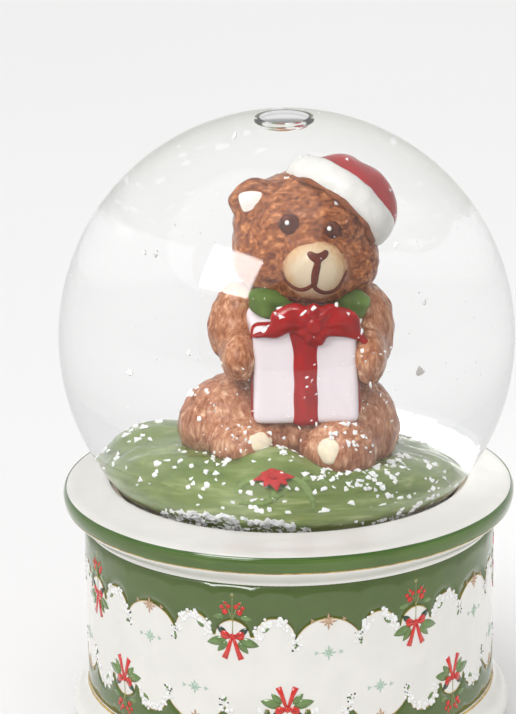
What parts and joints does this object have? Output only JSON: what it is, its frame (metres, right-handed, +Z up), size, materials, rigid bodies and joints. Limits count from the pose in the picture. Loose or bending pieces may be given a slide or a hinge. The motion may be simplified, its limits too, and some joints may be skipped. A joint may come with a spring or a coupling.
{
  "type": "snow globe",
  "caption": "Water-filled glass snow globe on a glazed ceramic stand, with a teddy bear in a Santa hat holding a present on a green mound.",
  "frame": {"origin": "middle of the underside of the felt pad, on the surface that the globe stands on", "axes": "+Z is up; the bear faces -Y, so +X is at the viewer's right"},
  "size_m": [0.065, 0.065, 0.09],
  "materials": {
    "stand_glaze": "gloss",
    "globe_glass": "polished",
    "liquid": "polished",
    "plug_rubber": "matte",
    "clear_sealant": "satin",
    "plaster": "matte",
    "cover_plastic": "matte",
    "felt": "matte",
    "moss_glaze": "gloss",
    "fur_glaze": "gloss",
    "hat_red_glaze": "gloss",
    "white_glaze": "gloss",
    "scarf_glaze": "gloss",
    "gift_glaze": "gloss",
    "red_glaze": "gloss",
    "snow": "matte"
  },
  "bodies": {
    "root": {"ceramic_stand": "stand_glaze", "glass_globe": "globe_glass", "rubber_plug": "plug_rubber", "sealant_ring": "clear_sealant", "potting_fill": "plaster", "bottom_cover": "cover_plastic", "felt_pad": "felt", "mound": "moss_glaze", "poinsettia": "red_glaze", "bear_body": "fur_glaze", "bear_head": "fur_glaze", "hat_crown": "hat_red_glaze", "hat_trim": "white_glaze", "hat_pompom": "white_glaze", "neck_scarf": "scarf_glaze", "gift_box": "gift_glaze", "gift_ribbon": "red_glaze", "gift_bow": "red_glaze", "snow_drift_front": "snow", "snow_drift_right": "snow", "snow_drift_back": "snow"},
    "swirl": {"liquid_fill": "liquid", "snow_flake_01": "snow", "snow_flake_02": "snow", "snow_flake_03": "snow", "snow_flake_04": "snow", "snow_flake_05": "snow", "snow_flake_06": "snow", "snow_flake_07": "snow", "snow_flake_08": "snow", "snow_flake_09": "snow", "snow_flake_10": "snow", "snow_flake_11": "snow", "snow_flake_12": "snow"}
  },
  "joints": [
    {"name": "snow_swirl", "type": "hinge", "parent": "root", "child": "swirl", "pos_m": [0, 0, 0.0575], "axis": [0, 0, 1], "continuous": true}
  ]
}
